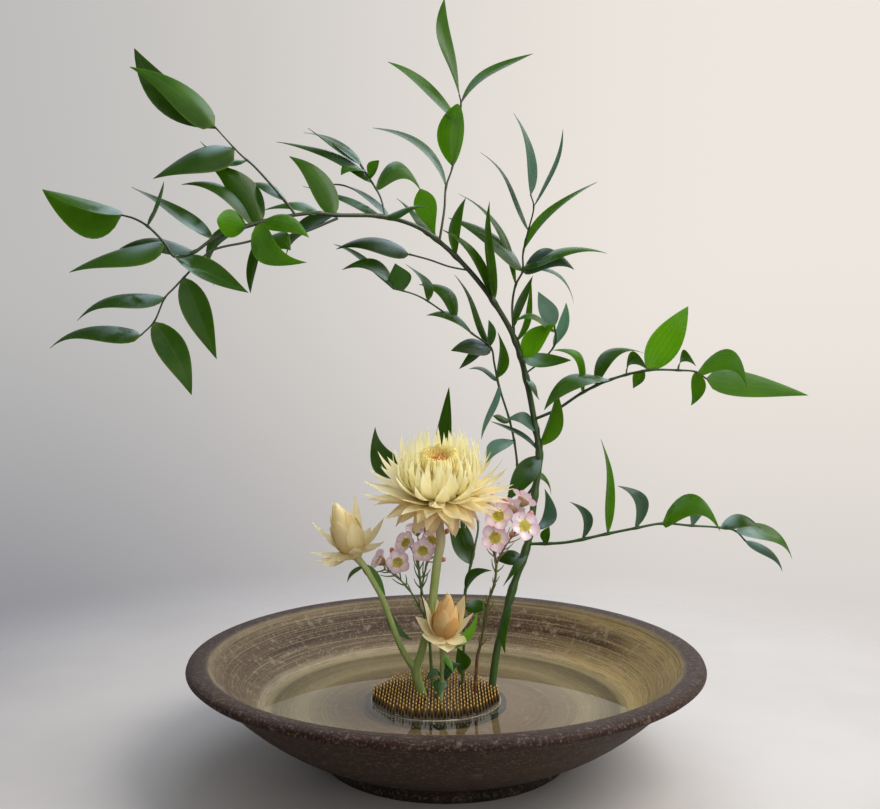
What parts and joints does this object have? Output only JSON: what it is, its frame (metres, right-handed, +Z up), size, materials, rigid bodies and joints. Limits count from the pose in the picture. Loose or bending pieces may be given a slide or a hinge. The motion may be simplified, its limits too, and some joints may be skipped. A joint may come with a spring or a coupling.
{
  "type": "ikebana arrangement",
  "caption": "Low ikebana arrangement: arching ruscus, a pale strawflower with buds and pink waxflower sprigs in a pin holder, standing in water in a wide shallow stoneware bowl.",
  "frame": {"origin": "on the table under the centre of the bowl's foot, which is the bottom centre of the whole arrangement's box", "axes": "+Z up; -Y to the front, where the bloom and buds face; +X to the right, so the long arch of ruscus reaches to -X"},
  "size_m": [0.432, 0.302, 0.452],
  "materials": {
    "stoneware": "dark brown speckled glaze outside, brushed tan and brown glaze inside, satin",
    "water": "clear still water",
    "kenzan_lead": "cast lead with a pale rim, dull",
    "kenzan_brass": "bright pointed brass needles",
    "rubber": "matt dark rubber",
    "ruscus_stem": "smooth green stem, browner at the twigs",
    "ruscus_leaf": "dark green, glossy, fine parallel veins",
    "flower_stem": "pale green ribbed stem",
    "pale_bract": "papery pale yellow bracts, peach below",
    "tan_bract": "papery tan yellow bracts",
    "apricot_bract": "papery apricot bracts",
    "florets": "mustard and orange florets",
    "wax_stem": "thin red-brown stem with green needle leaves",
    "wax_petal": "waxy pale pink petals, greenish yellow middle"
  },
  "bodies": {
    "root": {"bowl": "stoneware", "water": "water", "kenzan_base": "kenzan_lead", "kenzan_rubber_ring": "rubber", "kenzan_needles": "kenzan_brass", "ruscus_main_stem": "ruscus_stem", "left_tip_leaf": "ruscus_leaf", "left_drooping_leaf": "ruscus_leaf", "left_inner_leaf": "ruscus_leaf", "bright_hanging_leaf": "ruscus_leaf", "left_lower_twig": "ruscus_stem", "left_hanging_leaf": "ruscus_leaf", "left_low_leaf": "ruscus_leaf", "left_low_tip_leaf": "ruscus_leaf", "left_side_leaf": "ruscus_leaf", "left_upper_twig": "ruscus_stem", "left_top_back_leaf": "ruscus_leaf", "left_top_leaf": "ruscus_leaf", "left_upper_leaf": "ruscus_leaf", "top_twig": "ruscus_stem", "top_round_leaf": "ruscus_leaf", "top_leaf": "ruscus_leaf", "top_right_leaf": "ruscus_leaf", "upper_right_twig": "ruscus_stem", "loop_twig": "ruscus_stem", "back_twig": "ruscus_stem", "right_upper_twig": "ruscus_stem", "right_bright_leaf": "ruscus_leaf", "right_arched_leaf": "ruscus_leaf", "right_tip_leaf": "ruscus_leaf", "right_lower_twig": "ruscus_stem", "right_upright_leaf": "ruscus_leaf", "right_folded_leaf": "ruscus_leaf", "strawflower_stem": "flower_stem", "front_bud_stem": "flower_stem", "bloom_centre": "florets", "bloom_drooping_bracts": "pale_bract", "bloom_lower_bracts": "pale_bract", "bloom_wide_bracts": "pale_bract", "bloom_middle_bracts": "pale_bract", "bloom_upper_bracts": "pale_bract", "bloom_inner_bracts": "pale_bract", "left_bud_heart": "tan_bract", "left_bud_bracts": "tan_bract", "front_bud_heart": "apricot_bract", "front_bud_bracts": "tan_bract", "waxflower_left_sprig": "wax_stem", "waxflower_left_1": "wax_petal", "waxflower_left_2": "wax_petal", "waxflower_left_3": "wax_petal", "waxflower_left_4": "wax_petal", "waxflower_left_5": "wax_petal", "waxflower_left_6": "wax_petal", "waxflower_right_sprig": "wax_stem", "waxflower_right_1": "wax_petal", "waxflower_right_2": "wax_petal", "waxflower_right_3": "wax_petal", "waxflower_right_4": "wax_petal", "waxflower_right_5": "wax_petal", "waxflower_right_6": "wax_petal"}
  },
  "joints": []
}
